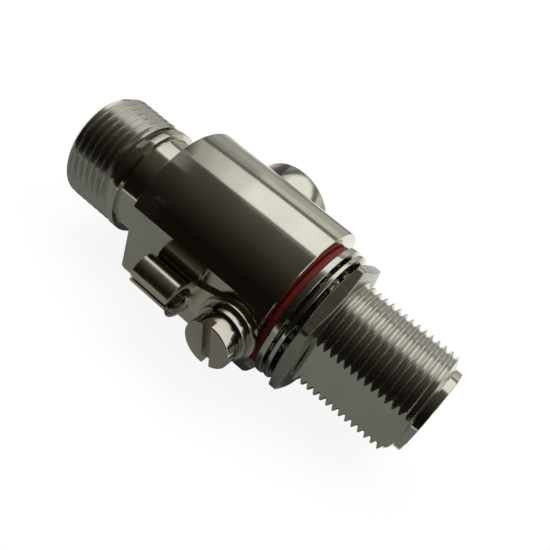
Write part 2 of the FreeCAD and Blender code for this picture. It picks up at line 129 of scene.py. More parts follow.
def finish_mesh(name, bm, material, body, node, sharp=32):
    """Turn a bmesh in millimetres into a shown piece that rides on its body in place of its solid."""
    bmesh.ops.remove_doubles(bm, verts=bm.verts, dist=MERGE)
    bmesh.ops.dissolve_degenerate(bm, edges=bm.edges, dist=TINY)
    bmesh.ops.recalc_face_normals(bm, faces=bm.faces)
    bmesh.ops.scale(bm, vec=(MM, MM, MM), verts=bm.verts)
    mesh = bpy.data.meshes.new(name)
    bm.to_mesh(mesh)
    bm.free()
    mesh.shade_smooth()
    mesh.set_sharp_from_angle(angle=math.radians(sharp))
    for face in mesh.polygons:
        if face.loop_total > MANY_CORNERS:
            face.use_smooth = False
    mesh.materials.append(material)
    piece = bpy.data.objects.new(name, mesh)
    bpy.context.scene.collection.objects.link(piece)
    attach(piece, body)
    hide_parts(node)
    return piece


def rounded(outline, radius, closed=True, steps=3):
    """Round every corner of a flat outline by an arc, no larger than its sides allow."""
    result = []
    count = len(outline)
    for index, corner in enumerate(outline):
        if not closed and index in (0, count - 1):
            result.append(corner)
            continue
        here = Vector(corner)
        before = Vector(outline[index - 1]) - here
        after = Vector(outline[(index + 1) % count]) - here
        reach = min(radius, before.length * SIDE_SHARE, after.length * SIDE_SHARE)
        first = here + before.normalized() * reach
        last = here + after.normalized() * reach
        for step in range(steps + 1):
            share = step / steps
            point = first.lerp(here, share).lerp(here.lerp(last, share), share)
            result.append((point.x, point.y))
    return result


def at(axes, centre, along, radius, turn):
    """Place on a circle round an axis, some way along it."""
    direction, first, second = axes
    return centre + direction * along + (first * math.cos(turn) + second * math.sin(turn)) * radius


def join_rings(bm, near, far):
    """Add the wall between two closed rings of vertices."""
    count = len(near)
    for index in range(count):
        beyond = (index + 1) % count
        bm.faces.new((near[index], near[beyond], far[beyond], far[index]))


def add_lathe(bm, outline, axes=AXIS_X, centre=(0, 0, 0), steps=192, start=0.0, sweep=360.0):
    """Add a turned solid: a closed outline of (place along the axis, radius) swept round the axis."""
    centre = Vector(centre)
    full = sweep >= 360
    rings = []
    for step in range(steps if full else steps + 1):
        turn = math.radians(start + sweep * step / steps)
        rings.append([bm.verts.new(at(axes, centre, along, radius, turn)) for along, radius in outline])
    for step in range(steps):
        join_rings(bm, rings[step], rings[(step + 1) % len(rings)])
    if not full:
        bm.faces.new(rings[0])
        bm.faces.new(reversed(rings[-1]))
    return bm


def cut_away(bm, cutters):
    """Subtract closed cutter meshes from a closed mesh and return the result."""
    base_mesh = bpy.data.meshes.new("base")
    bm.to_mesh(base_mesh)
    bm.free()
    base = bpy.data.objects.new("base", base_mesh)
    bpy.context.scene.collection.objects.link(base)
    extra = []
    for cutter in cutters:
        bmesh.ops.recalc_face_normals(cutter, faces=cutter.faces)
        cutter_mesh = bpy.data.meshes.new("cutter")
        cutter.to_mesh(cutter_mesh)
        cutter.free()
        tool = bpy.data.objects.new("cutter", cutter_mesh)
        bpy.context.scene.collection.objects.link(tool)
        extra.append(tool)
        modifier = base.modifiers.new("cut", "BOOLEAN")
        modifier.operation = "DIFFERENCE"
        modifier.solver = "EXACT"
        modifier.object = tool
    bpy.context.view_layer.update()
    result = bmesh.new()
    depsgraph = bpy.context.evaluated_depsgraph_get()
    result.from_mesh(bpy.data.meshes.new_from_object(base.evaluated_get(depsgraph)))
    for done in extra + [base]:
        bpy.data.objects.remove(done)
    return result


def box_mesh(low, high):
    """A closed box between two corners."""
    bm = bmesh.new()
    bmesh.ops.create_cube(bm, size=1)
    low, high = Vector(low), Vector(high)
    for vert in bm.verts:
        vert.co = Vector(low[k] + (vert.co[k] + 0.5) * (high[k] - low[k]) for k in range(3))
    return bm


# Places across one turn of the thread, as shares of the pitch from its crest, with the depth reached
THREAD_FORM = (
    (0.0, 0.0), (0.045, 0.0), (0.075, 0.03), (0.10, 0.10), (0.38, 0.93),
    (0.42, 0.99), (0.46, 1.0), (0.54, 1.0), (0.58, 0.99), (0.62, 0.93),
    (0.90, 0.10), (0.925, 0.03), (0.955, 0.0),
)


def thread_depth(share):
    """Depth of the thread form at a share of the pitch, straight between its named places."""
    places = THREAD_FORM + ((1.0, 0.0),)
    for (left, left_depth), (right, right_depth) in zip(places, places[1:]):
        if left <= share <= right:
            return left_depth + (right_depth - left_depth) * (share - left) / (right - left)
    return 0.0


def add_thread(bm, start, end, crest, limit):
    """Add a right-hand threaded skin from start to end along X, its rows following the helix."""
    form = len(THREAD_FORM)
    first_turn = math.floor((start - crest) / PITCH) - 2
    last_turn = math.ceil((end - crest) / PITCH) + 1
    rows = (last_turn - first_turn) * form
    columns = []
    for step in range(THREAD_STEPS):
        turn = 2 * math.pi * step / THREAD_STEPS
        column = []
        for row in range(rows + form):
            whole, part = divmod(row, form)
            free = crest + PITCH * (first_turn + whole + THREAD_FORM[part][0] + turn / (2 * math.pi))
            place = min(max(free, start), end)
            share = ((place - crest) / PITCH - turn / (2 * math.pi)) % 1
            radius = CREST_RADIUS - (CREST_RADIUS - ROOT_RADIUS) * thread_depth(share)
            column.append(bm.verts.new(at(AXIS_X, Vector(), place, min(radius, limit(place)), turn)))
        columns.append(column)
    for step in range(THREAD_STEPS):
        near = columns[step]
        last = step == THREAD_STEPS - 1
        far = columns[0][form:] if last else columns[step + 1]
        for row in range(rows - 1 if last else rows + form - 1):
            bm.faces.new((near[row], near[row + 1], far[row + 1], far[row]))


# Materials. Bump heights and scatter radii are in metres
BUMP_HEIGHT = 0.0001
CLOUD_SCALE = 180
SCATTER_RADII = (0.0006, 0.0003, 0.0002)


def plain(material, **values):
    """Set the shader's own sockets."""
    shader = material.node_tree.nodes["Principled BSDF"]
    for name, value in values.items():
        shader.inputs[name.replace("_", " ")].default_value = value
    return shader


def noise_of(tree, stretch, scale, detail=4.0, coarse=0.5):
    """Noise in object coordinates, stretched by a scale on each axis."""
    place = tree.nodes.new("ShaderNodeTexCoord")
    mapping = tree.nodes.new("ShaderNodeMapping")
    mapping.inputs["Scale"].default_value = stretch
    noise = tree.nodes.new("ShaderNodeTexNoise")
    noise.inputs["Scale"].default_value = scale
    noise.inputs["Detail"].default_value = detail
    noise.inputs["Roughness"].default_value = coarse
    tree.links.new(place.outputs["Object"], mapping.inputs["Vector"])
    tree.links.new(mapping.outputs["Vector"], noise.inputs["Vector"])
    return noise.outputs["Fac"]


def ramp_of(tree, source, stops):
    """Colours from a value, one at each named place."""
    ramp = tree.nodes.new("ShaderNodeValToRGB")
    while len(ramp.color_ramp.elements) < len(stops):
        ramp.color_ramp.elements.new(0.5)
    for element, (place, colour) in zip(ramp.color_ramp.elements, stops):
        element.position = place
        element.color = (*colour, 1)
    tree.links.new(source, ramp.inputs["Fac"])
    return ramp.outputs["Color"]


def grey(value):
    return (value, value, value)


def new_material(name):
    material = bpy.data.materials.new(name)
    material.use_nodes = True
    return material


def metal(name, dark, light, rough, grain=(1, 1, 1), grain_size=400, bump=0.03):
    """Plated metal: tone and roughness vary a little, with fine turning or rolling marks."""
    material = new_material(name)
    tree = material.node_tree
    shader = plain(material, Metallic=1.0)
    cloud = noise_of(tree, (1, 1, 1), CLOUD_SCALE, 3)
    marks = noise_of(tree, grain, grain_size, 5, 0.6)
    tree.links.new(ramp_of(tree, cloud, ((0.35, dark), (0.65, light))), shader.inputs["Base Color"])
    tree.links.new(
        ramp_of(tree, marks, ((0.3, grey(rough[0])), (0.7, grey(rough[1])))), shader.inputs["Roughness"])
    relief = tree.nodes.new("ShaderNodeBump")
    relief.inputs["Strength"].default_value = bump
    relief.inputs["Distance"].default_value = BUMP_HEIGHT
    tree.links.new(marks, relief.inputs["Height"])
    tree.links.new(relief.outputs["Normal"], shader.inputs["Normal"])
    return material


def soft(name, dark, light, rough, bump=0.1, size=900, scatter=0.0):
    """Rubber, plastic or ceramic: a fine mottle of colour and a faint skin texture."""
    material = new_material(name)
    tree = material.node_tree
    shader = plain(material, Roughness=rough, Subsurface_Weight=scatter)
    shader.inputs["Subsurface Radius"].default_value = SCATTER_RADII
    mottle = noise_of(tree, (1, 1, 1), size, 4)
    tree.links.new(ramp_of(tree, mottle, ((0.3, dark), (0.7, light))), shader.inputs["Base Color"])
    relief = tree.nodes.new("ShaderNodeBump")
    relief.inputs["Strength"].default_value = bump
    relief.inputs["Distance"].default_value = BUMP_HEIGHT
    tree.links.new(mottle, relief.inputs["Height"])
    tree.links.new(relief.outputs["Normal"], shader.inputs["Normal"])
    return material


# A metal has its darkest and lightest tone, its least and most roughness, and the way and size of its grain
NICKEL_DARK, NICKEL_LIGHT = (0.60, 0.59, 0.50), (0.66, 0.65, 0.55)
nickel_turned = metal("nickel_turned", NICKEL_DARK, NICKEL_LIGHT, (0.07, 0.13), (30, 1, 1), 300)
nickel_thread = metal(
    "nickel_thread", (0.58, 0.57, 0.51), (0.65, 0.64, 0.58), (0.16, 0.27), (30, 1, 1), 300)
nickel_cap = metal("nickel_cap", NICKEL_DARK, NICKEL_LIGHT, (0.07, 0.13), (1, 30, 1), 300)
nickel_flat = metal("nickel_flat", (0.52, 0.48, 0.41), (0.60, 0.56, 0.48), (0.08, 0.15), (1, 1, 12), 300)
nickel_nut = metal("nickel_nut", (0.39, 0.38, 0.32), (0.45, 0.44, 0.38), (0.26, 0.38), (1, 1, 12), 300)
stamped = metal("stamped_washer", (0.56, 0.55, 0.48), (0.66, 0.65, 0.57), (0.12, 0.24))
tinned = metal("tinned_lug", (0.68, 0.65, 0.53), (0.78, 0.75, 0.62), (0.16, 0.30), bump=0.12)
gold = metal("gold_contact", (0.78, 0.56, 0.20), (0.85, 0.63, 0.27), (0.16, 0.24))
silicone = soft("red_silicone", (0.27, 0.018, 0.018), (0.35, 0.03, 0.028), 0.55, scatter=0.05)
seal_rubber = soft("seal_rubber", (0.02, 0.02, 0.02), (0.035, 0.035, 0.035), 0.6)
ptfe = soft("white_bead", (0.82, 0.82, 0.80), (0.88, 0.88, 0.86), 0.4, 0.05, scatter=0.1)
alumina = soft("alumina", (0.80, 0.79, 0.75), (0.87, 0.86, 0.82), 0.35, 0.05)


# Pieces

def make_body():
    """Barrel with its flat and side holes, the D-shaped threaded shank, and the bored nose."""
    edge, nose_edge = 0.2, 0.22
    runout_slope = 2.2
    on_flat = 1e-4
    barrel = rounded([
        (BARREL_START, SPIGOT_RADIUS), (BARREL_START, BARREL_RADIUS), (SHANK_START, BARREL_RADIUS),
        (SHANK_START, BEAD_RADIUS), (SPIGOT_END, BEAD_RADIUS), (SPIGOT_END, SPIGOT_RADIUS),
    ], edge)
    solid = add_lathe(bmesh.new(), barrel, steps=256)
    reach = BARREL_RADIUS + 1
    flat = box_mesh((BARREL_START - 1, -reach, -reach), (SHANK_START + 1, -GROUND_FLAT, reach))
    cap_bore = CAP_THREAD_RADIUS + THREAD_PLAY
    cap_recess = CAP_RADIUS + CAP_PLAY
    tube_hole = [
        (0, 0), (0, TUBE_HOLE_RADIUS), (TUBE_HOLE_SHELF, TUBE_HOLE_RADIUS), (TUBE_HOLE_SHELF, cap_bore),
        (CAP_SEAT, cap_bore), (CAP_SEAT, cap_recess), (reach, cap_recess), (reach, 0),
    ]
    cap_cut = add_lathe(bmesh.new(), tube_hole, AXIS_UP, (CAP_STATION, 0, 0), 128)
    bmesh.ops.remove_doubles(cap_cut, verts=cap_cut.verts, dist=MERGE)
    screw_bore = SCREW_RADIUS + THREAD_PLAY
    screw_hole = [(SCREW_HOLE_END, 0), (SCREW_HOLE_END, screw_bore), (reach, screw_bore), (reach, 0)]
    screw_cut = add_lathe(bmesh.new(), screw_hole, AXIS_DOWN, (SCREW_STATION, 0, 0), 64)
    bmesh.ops.remove_doubles(screw_cut, verts=screw_cut.verts, dist=MERGE)
    whole = cut_away(solid, [flat, cap_cut, screw_cut])

    def shank_limit(place):
        """The thread runs out on a steep bevel before the nose."""
        return NOSE_RADIUS + (SHANK_END - place) * runout_slope

    shank = bmesh.new()
    add_thread(shank, SHANK_START, SHANK_END, SHANK_CREST, shank_limit)
    bmesh.ops.remove_doubles(shank, verts=shank.verts, dist=MERGE)
    everything = shank.verts[:] + shank.edges[:] + shank.faces[:]
    bmesh.ops.bisect_plane(
        shank, geom=everything, dist=TINY, plane_co=(0, -SHANK_FLAT, 0), plane_no=(0, -1, 0),
        clear_outer=True)
    rim = [vert for vert in shank.verts if abs(vert.co.y + SHANK_FLAT) < on_flat]
    upper = sorted((vert for vert in rim if vert.co.z >= 0), key=lambda vert: vert.co.x)
    lower = sorted((vert for vert in rim if vert.co.z < 0), key=lambda vert: -vert.co.x)
    for face in shank.faces:
        face.material_index = 1
    shank.faces.new(upper + lower)
    bmesh.ops.recalc_face_normals(shank, faces=shank.faces)
    add_mesh(whole, shank)
    seat = BULKHEAD_FACE - BEAD_DEPTH
    mouth = BULKHEAD_FACE - MOUTH_DEPTH
    lining_start, lining_radius, nose_start = SHANK_START + 0.2, 6.2, SHANK_END - 0.4
    nose = rounded([
        (lining_start, BEAD_RADIUS), (seat, BEAD_RADIUS), (seat, LINE_RADIUS), (mouth, LINE_RADIUS),
        (mouth, MOUTH_RADIUS), (BULKHEAD_FACE, MOUTH_RADIUS), (BULKHEAD_FACE, NOSE_RADIUS),
        (nose_start, NOSE_RADIUS), (nose_start, lining_radius), (lining_start, lining_radius),
    ], nose_edge)
    add_lathe(whole, nose)
    piece = finish_mesh("turned_body", whole, nickel_turned, "arrestor", "body")
    piece.data.materials.append(nickel_thread)


def add_mesh(target, source):
    """Copy one bmesh into another."""
    mesh = bpy.data.meshes.new("part")
    source.to_mesh(mesh)
    source.free()
    target.from_mesh(mesh)


def make_line_jack():
    """Line jack: threaded mouth with a bevelled point, relief, collar and neck."""
    relief, collar, neck = -28.6, -27.8, -26.6
    core_radius, relief_radius, collar_radius, neck_radius = 6.95, 7.4, 8.0, 7.2
    neck_end = BARREL_START + 0.3
    point_radius, point_slope = 7.0, 1.05
    edge = 0.12

    def jack_limit(place):
        """The thread starts on a bevel from the mouth's face."""
        return point_radius + (place - LINE_FACE) * point_slope

    jack = bmesh.new()
    add_thread(jack, LINE_FACE, relief, JACK_CREST, jack_limit)
    for face in jack.faces:
        face.material_index = 1
    mouth = LINE_FACE + MOUTH_DEPTH
    seat = LINE_FACE + BEAD_DEPTH
    core = rounded([
        (LINE_FACE, MOUTH_RADIUS), (LINE_FACE, core_radius), (relief, core_radius), (relief, relief_radius),
        (collar, relief_radius), (collar, collar_radius), (neck, collar_radius), (neck, neck_radius),
        (neck_end, neck_radius), (neck_end, SPIGOT_RADIUS), (SPIGOT_END, SPIGOT_RADIUS),
        (SPIGOT_END, BEAD_RADIUS), (seat, BEAD_RADIUS), (seat, LINE_RADIUS), (mouth, LINE_RADIUS),
        (mouth, MOUTH_RADIUS),
    ], edge)
    add_lathe(jack, core)
    piece = finish_mesh("threaded_line_jack", jack, nickel_turned, "arrestor", "line_jack")
    piece.data.materials.append(nickel_thread)


def make_gas_cap():
    """Round cap: hollow neck in the barrel and a plain polished head."""
    groove_top, groove_radius = CAP_SEAT + 0.75, CAP_THREAD_RADIUS + 0.8
    edge = 0.4
    head = rounded([
        (CAP_CEILING, 0.0), (CAP_CEILING, CAP_HOLLOW_RADIUS), (CAP_LOW, CAP_HOLLOW_RADIUS),
        (CAP_LOW, CAP_THREAD_RADIUS), (groove_top, CAP_THREAD_RADIUS), (groove_top, groove_radius),
        (CAP_SEAT, groove_radius), (CAP_SEAT, CAP_RADIUS), (CAP_HIGH, CAP_RADIUS), (CAP_HIGH, 0.0),
    ], edge, closed=False, steps=4)
    cap = add_lathe(bmesh.new(), head, AXIS_UP, (CAP_STATION, 0, 0))
    finish_mesh("gas_tube_cap", cap, nickel_cap, "cap", "gas_cap")


def make_ring(name, node, inner, edge, material, body, slot, axes=AXIS_X, centre=(0, 0, 0), **turned):
    """A plain ring with softened edges, as long and as wide as its solid."""
    along = X if axes is AXIS_X else Y
    low, high = span(node, along)
    if axes is AXIS_DOWN:
        low, high = -high, -low
    outer = (span(node, Z)[1] - span(node, Z)[0]) / 2
    outline = rounded([(low, inner), (high, inner), (high, outer), (low, outer)], edge)
    ring = add_lathe(bmesh.new(), outline, axes, centre, **turned)
    return finish_mesh(name, ring, material, body, node)


def make_tooth_washer():
    """Internal-tooth lock washer: a flat rim and twenty teeth that twist as they reach inwards."""
    low, high = span("tooth_washer", X)
    outer = 10.1
    rim_inner = 9.0
    overlap = 0.3
    root_radius = rim_inner + overlap
    thickness = 0.55
    first_turn = 15.6
    twist = math.radians(50)
    # A tooth has its full twist at four fifths of its reach
    twist_rate = 1.25
    rim_edge, tooth_edge = 0.12, 0.1
    width = (high - low - thickness * math.cos(twist)) / math.sin(twist)
    middle = (low + high) / 2
    half = thickness / 2
    left, right = middle - half, middle + half
    outline = rounded([(left, rim_inner), (right, rim_inner), (right, outer), (left, outer)], rim_edge)
    washer = add_lathe(bmesh.new(), outline)
    section = rounded(
        [(-width / 2, -half), (width / 2, -half), (width / 2, half), (-width / 2, half)],
        tooth_edge, steps=2)
    stations = 7
    count = 20
    for tooth in range(count):
        turn = math.radians(first_turn + 360 * tooth / count)
        outward = Vector((0, math.cos(turn), math.sin(turn)))
        across = Vector((0, -math.sin(turn), math.cos(turn)))
        rings = []
        for station in range(stations):
            share = station / (stations - 1)
            radius = root_radius + (WASHER_BORE_RADIUS - root_radius) * share
            bend = twist * min(1.0, share * twist_rate)
            ring = []
            for wide, thick in section:
                along = wide * math.sin(bend) + thick * math.cos(bend)
                side = wide * math.cos(bend) - thick * math.sin(bend)
                ring.append(washer.verts.new(
                    Vector((middle + along, 0, 0)) + outward * radius + across * side))
            rings.append(ring)
        for near, far in zip(rings, rings[1:]):
            join_rings(washer, near, far)
        washer.faces.new(rings[0])
        washer.faces.new(rings[-1])
    finish_mesh("twisted_tooth_washer", washer, stamped, "panel_washers", "tooth_washer")


def make_hex_nut():
    """Thin hexagon nut: each radius of its outline follows the six flats, chamfered on both faces."""
    low, high = span("hex_nut", X)
    flats = 19.0
    chamfer_radius = 9.1
    slope = math.tan(math.radians(15))
    bore = 7.95
    corner_round = 0.15
    edge = 0.09
    bore_chamfer, lip = 0.3, 0.25
    face_edge, face_fall = 0.1, 0.02
    turned_from_up = math.radians(25.5)
    steps = 360
    nut = bmesh.new()
    rings = []
    for step in range(steps):
        turn = 2 * math.pi * step / steps
        from_flat = (turn % (math.pi / 3)) - math.pi / 6
        radius = min(flats / 2 / math.cos(from_flat), flats / 2 / math.cos(math.pi / 6) - corner_round)
        drop = (radius - chamfer_radius) * slope
        ring = [
            (low + bore_chamfer, bore - lip), (low, bore + bore_chamfer),
            (low, chamfer_radius - face_edge),
            (low + face_fall, chamfer_radius + face_edge),
            (low + drop - edge * slope, radius - edge), (low + drop + edge, radius),
            (high - drop - edge, radius), (high - drop + edge * slope, radius - edge),
            (high - face_fall, chamfer_radius + face_edge), (high, chamfer_radius - face_edge),
            (high, bore + bore_chamfer), (high - bore_chamfer, bore - lip),
        ]
        place = turn + turned_from_up
        rings.append([nut.verts.new(at(AXIS_X, Vector(), along, reach, place)) for along, reach in ring])
    for step in range(steps):
        join_rings(nut, rings[step], rings[(step + 1) % steps])
    finish_mesh("hexagon_nut", nut, nickel_nut, "nut", "hex_nut", sharp=24)


def make_ground_screw():
    """Cheese-head screw with a milled slot."""
    seat = SCREW_TOP - SCREW_HEAD_HEIGHT
    edge = 0.22
    outline = rounded([
        (SCREW_TIP, 0.0), (SCREW_TIP, SCREW_RADIUS), (seat, SCREW_RADIUS), (seat, SCREW_HEAD_RADIUS),
        (SCREW_TOP, SCREW_HEAD_RADIUS), (SCREW_TOP, 0.0),
    ], edge, closed=False)
    screw = add_lathe(bmesh.new(), outline, AXIS_DOWN, (SCREW_STATION, 0, 0), 128)
    bmesh.ops.remove_doubles(screw, verts=screw.verts, dist=MERGE)
    bmesh.ops.recalc_face_normals(screw, faces=screw.faces)
    reach = SCREW_HEAD_RADIUS + 1
    slot = box_mesh(
        (-SLOT_WIDTH / 2, -SCREW_TOP - 1, -reach), (SLOT_WIDTH / 2, -SCREW_TOP + SLOT_DEPTH, reach))
    place = Matrix.Translation((SCREW_STATION, 0, 0)) @ Matrix.Rotation(math.radians(-SCREW_TURN), 4, "Y")
    bmesh.ops.transform(slot, matrix=place, verts=slot.verts)
    slotted = cut_away(screw, [slot])
    finish_mesh("slotted_screw", slotted, nickel_flat, "ground_screw", "ground_screw")


def make_ground_lug():
    """Crimp lug from one sheet: the strip's width and bend change along its length."""
    thickness = 0.6
    ring_radius = 4.0
    neck_half, neck_reach, gutter, barrel_length = 2.2, 6.0, 1.2, 5.8
    barrel_diameter, seam_half, tip_half = 4.5, 0.2, 0.02
    ring_steps, neck_steps, gutter_steps, barrel_steps = 32, 8, 12, 12
    mean_radius = (barrel_diameter - thickness) / 2
    full_half = math.pi * mean_radius - seam_half
    full_bend = full_half / mean_radius
    tangent = math.atan2(neck_half, neck_reach) + math.acos(ring_radius / math.hypot(neck_half, neck_reach))
    tangent_reach = ring_radius * math.cos(tangent)
    stations = []
    for step in range(ring_steps + 1):
        turn = math.pi - (math.pi - tangent) * step / ring_steps
        stations.append((ring_radius * math.cos(turn), max(ring_radius * math.sin(turn), tip_half), 0.0))
    for step in range(1, neck_steps + 1):
        share = step / neck_steps
        half = ring_radius * math.sin(tangent) * (1 - share) + neck_half * share
        stations.append((tangent_reach + (neck_reach - tangent_reach) * share, half, 0.0))
    for step in range(1, gutter_steps + 1):
        share = step / gutter_steps
        ease = share * share * (3 - 2 * share)
        half = neck_half + (full_half - neck_half) * ease
        stations.append((neck_reach + gutter * share, half, full_bend * ease))
    for step in range(1, barrel_steps + 1):
        stations.append((neck_reach + gutter + barrel_length * step / barrel_steps, full_half, full_bend))
    columns = 48
    lug = bmesh.new()
    skins = []
    for reach, half, bend in stations:
        upper, lower = [], []
        for column in range(columns + 1):
            share = 2 * column / columns - 1
            if bend < TINY:
                side, height, lean = share * half, thickness / 2, 0.0
            else:
                lean = share * bend
                radius = half / bend
                side, height = radius * math.sin(lean), thickness / 2 + radius * (1 - math.cos(lean))
            offset = Vector((0, -math.cos(lean), -math.sin(lean))) * thickness / 2
            middle = Vector((-reach, -height, side))
            upper.append(lug.verts.new(middle + offset))
            lower.append(lug.verts.new(middle - offset))
        skins.append((upper, lower))
    for (near_up, near_low), (far_up, far_low) in zip(skins, skins[1:]):
        for column in range(columns):
            lug.faces.new((near_up[column], near_up[column + 1], far_up[column + 1], far_up[column]))
            lug.faces.new((near_low[column], near_low[column + 1], far_low[column + 1], far_low[column]))
        for side in (0, columns):
            lug.faces.new((near_up[side], far_up[side], far_low[side], near_low[side]))
    for up, low in (skins[0], skins[-1]):
        for column in range(columns):
            lug.faces.new((up[column], up[column + 1], low[column + 1], low[column]))
    turned = Matrix.Rotation(math.radians(LUG_TURN), 4, "Y")
    place = Matrix.Translation((SCREW_STATION, -GROUND_FLAT, 0)) @ turned
    bmesh.ops.transform(lug, matrix=place, verts=lug.verts)
    piece = finish_mesh("rolled_crimp_lug", lug, tinned, "lug", "ground_lug", sharp=40)
    bevel = piece.modifiers.new("soft_edges", "BEVEL")
    bevel.width = 0.07 * MM
    bevel.segments = 2
    bevel.limit_method = "ANGLE"
    bevel.angle_limit = math.radians(50)


make_body()
make_line_jack()
make_gas_cap()
make_ring("soft_gasket", "panel_gasket", WASHER_BORE_RADIUS, 0.45, silicone, "arrestor", "silicone")
make_ring(
    "flat_panel_washer", "panel_washer", WASHER_BORE_RADIUS, 0.12, stamped, "panel_washers", "washer_nickel")
make_tooth_washer()
make_hex_nut()
SCREW_AT = (SCREW_STATION, 0, 0)
make_ring(
    "lug_washer", "flat_washer", LUG_WASHER_BORE_RADIUS, 0.1, stamped, "ground_washers", "washer_nickel",
    AXIS_DOWN, SCREW_AT)
make_ring(
    "split_washer", "spring_washer", LUG_WASHER_BORE_RADIUS, 0.12, stamped, "ground_washers",
    "washer_nickel", AXIS_DOWN, SCREW_AT, start=125, sweep=348)
make_ground_screw()
make_ground_lug()

FINISHES = {
    "center_pin": gold, "socket_line": gold, "socket_bulkhead": gold,
    "insulator_line": ptfe, "insulator_bulkhead": ptfe,
    "gas_tube_inner_electrode": stamped, "gas_tube_outer_electrode": stamped, "gas_tube_ceramic": alumina,
    "cap_spring": stamped, "cap_seal": seal_rubber,
}
for node, material in FINISHES.items():
    solid = bpy.data.objects[node]
    for place in solid.material_slots:
        place.material = material


# Studio

# The studio is in metres. Cards stand round the X axis in columns along it, each column with its two
# sides. A card has its angles from +Y towards +Z, its tone at both, and how much warmer than neutral it is
STUDIO_REACH = 3.0
CARD_DISTANCE = 0.30
CARD_ARC_STEPS = 8
CARD_COLUMNS = (
    ((-0.126, STUDIO_REACH), (
        (-4, 13, 0.50, 0.50, 0.05), (13, 26, 0.68, 0.68, 0.05), (26, 34, 0.19, 0.19, 0.05),
        (34, 73, 1.12, 1.12, 0.0), (73, 78, 0.20, 0.20, 0.1), (78, 112, 0.115, 0.049, 0.2),
        (112, 148, 0.049, 0.009, 0.35), (148, 205, 0.008, 0.008, 0.5))),
    ((-0.160, -0.126), (
        (-4, 15, 0.47, 0.47, 0.05), (15, 26, 0.40, 0.40, 0.05), (26, 34, 0.17, 0.17, 0.05),
        (34, 73, 0.86, 0.86, 0.0), (73, 112, 0.105, 0.049, 0.2), (112, 148, 0.049, 0.009, 0.35),
        (148, 205, 0.008, 0.008, 0.5))),
    ((-0.186, -0.160), (
        (-4, 15, 0.43, 0.43, 0.05), (15, 26, 0.36, 0.36, 0.05), (26, 34, 0.17, 0.17, 0.1),
        (34, 72, 0.66, 0.66, 0.05), (72, 112, 0.10, 0.047, 0.2), (112, 148, 0.047, 0.009, 0.35),
        (148, 205, 0.008, 0.008, 0.5))),
    ((-0.214, -0.186), (
        (-4, 15, 0.43, 0.43, 0.05), (15, 26, 0.32, 0.32, 0.05), (26, 34, 0.15, 0.15, 0.1),
        (34, 72, 0.50, 0.50, 0.05), (72, 112, 0.10, 0.045, 0.2), (112, 148, 0.045, 0.009, 0.35),
        (148, 205, 0.008, 0.008, 0.5))),
    ((-STUDIO_REACH, -0.214), (
        (-4, 2, 0.29, 0.29, 0.05), (2, 15, 0.13, 0.13, 0.1), (15, 30, 0.09, 0.09, 0.1),
        (30, 68, 0.06, 0.06, 0.1), (68, 94, 0.26, 0.26, 0.1), (94, 140, 0.07, 0.015, 0.3),
        (140, 205, 0.012, 0.012, 0.4))),
)
GRADED_STRIPS = 10
FLOOR_TONE = 0.24
FLOOR_GLOW = 0.90
WORLD_LIGHT = 0.03
# Cards just above the floor: their sides along X, their near and far edges along Y, and their tone.
# Each lies a little over the one before it. The metal reflects them in place of the floor: those under the
# body and just in front of it are painted shadow of the object on the floor, the wide one in front is partly
# painted shadow and partly dim surroundings, and the rest give the floor's reflection the tones of dim
# surroundings
FLOOR_CARD_LEVEL = (-BARREL_RADIUS + 0.1) * MM
FLOOR_CARD_STEP = 0.02 * MM
FLOOR_CARD_WARMTH = 0.04
FLOOR_CARDS = (
    ((-0.042, STUDIO_REACH), (0.058, 0.110), 0.22), ((-0.042, STUDIO_REACH), (0.110, 0.60), 0.47),
    # Partly painted shadow of the object on the floor in front of it, partly dim surroundings
    ((-STUDIO_REACH, STUDIO_REACH), (-0.16, -0.005), 0.20),
    ((-STUDIO_REACH, -0.042), (0.022, 0.10), 0.54), ((-STUDIO_REACH, -0.042), (0.10, 0.60), 0.36),
    # Painted shadow of the object on the floor, under the body and just in front of it
    ((-0.003, 0.0035), (-0.018, -0.005), 0.03), ((-0.042, 0.02), (-0.005, 0.002), 0.05),
    ((-STUDIO_REACH, -0.095), (-0.32, -0.16), 0.03),
)


def emission(name, colour):
    """A material that only glows, as bright as its colour."""
    material = new_material(name)
    tree = material.node_tree
    tree.nodes.remove(tree.nodes["Principled BSDF"])
    glow = tree.nodes.new("ShaderNodeEmission")
    glow.inputs["Color"].default_value = (*colour, 1)
    glow.inputs["Strength"].default_value = 1.0
    tree.links.new(glow.outputs["Emission"], tree.nodes["Material Output"].inputs["Surface"])
    return material


def card(name, rows, sides, colour):
    """A studio card seen only in reflections: rows of (y, z), drawn out along X between two sides."""
    bm = bmesh.new()
    edges = [[bm.verts.new((side, y, z)) for side in sides] for y, z in rows]
    for near, far in zip(edges, edges[1:]):
        bm.faces.new((near[0], near[1], far[1], far[0]))
    mesh = bpy.data.meshes.new(name)
    bm.to_mesh(mesh)
    bm.free()
    mesh.materials.append(emission(name, colour))
    shade = bpy.data.objects.new(name, mesh)
    bpy.context.scene.collection.objects.link(shade)
    shade.visible_camera = False
    shade.visible_diffuse = False
    shade.visible_shadow = False
    shade.visible_transmission = False


def curved_card(name, low_angle, high_angle, sides, colour):
    """A card curved round the X axis, between two angles from +Y towards +Z."""
    rows = []
    for step in range(CARD_ARC_STEPS + 1):
        turn = math.radians(low_angle + (high_angle - low_angle) * step / CARD_ARC_STEPS)
        rows.append((CARD_DISTANCE * math.cos(turn), CARD_DISTANCE * math.sin(turn)))
    card(name, rows, sides, colour)


def seen_by_eye_or_metal(tree):
    """One for rays from the camera, from shiny surfaces and through clear ones, and zero for the rest."""
    light_path = tree.nodes.new("ShaderNodeLightPath")
    either = tree.nodes.new("ShaderNodeMath")
    either.operation = "MAXIMUM"
    tree.links.new(light_path.outputs["Is Glossy Ray"], either.inputs[0])
    tree.links.new(light_path.outputs["Is Transmission Ray"], either.inputs[1])
    seen = tree.nodes.new("ShaderNodeMath")
    seen.operation = "MAXIMUM"
    tree.links.new(light_path.outputs["Is Camera Ray"], seen.inputs[0])
    tree.links.new(either.outputs[0], seen.inputs[1])
    return seen.outputs[0]


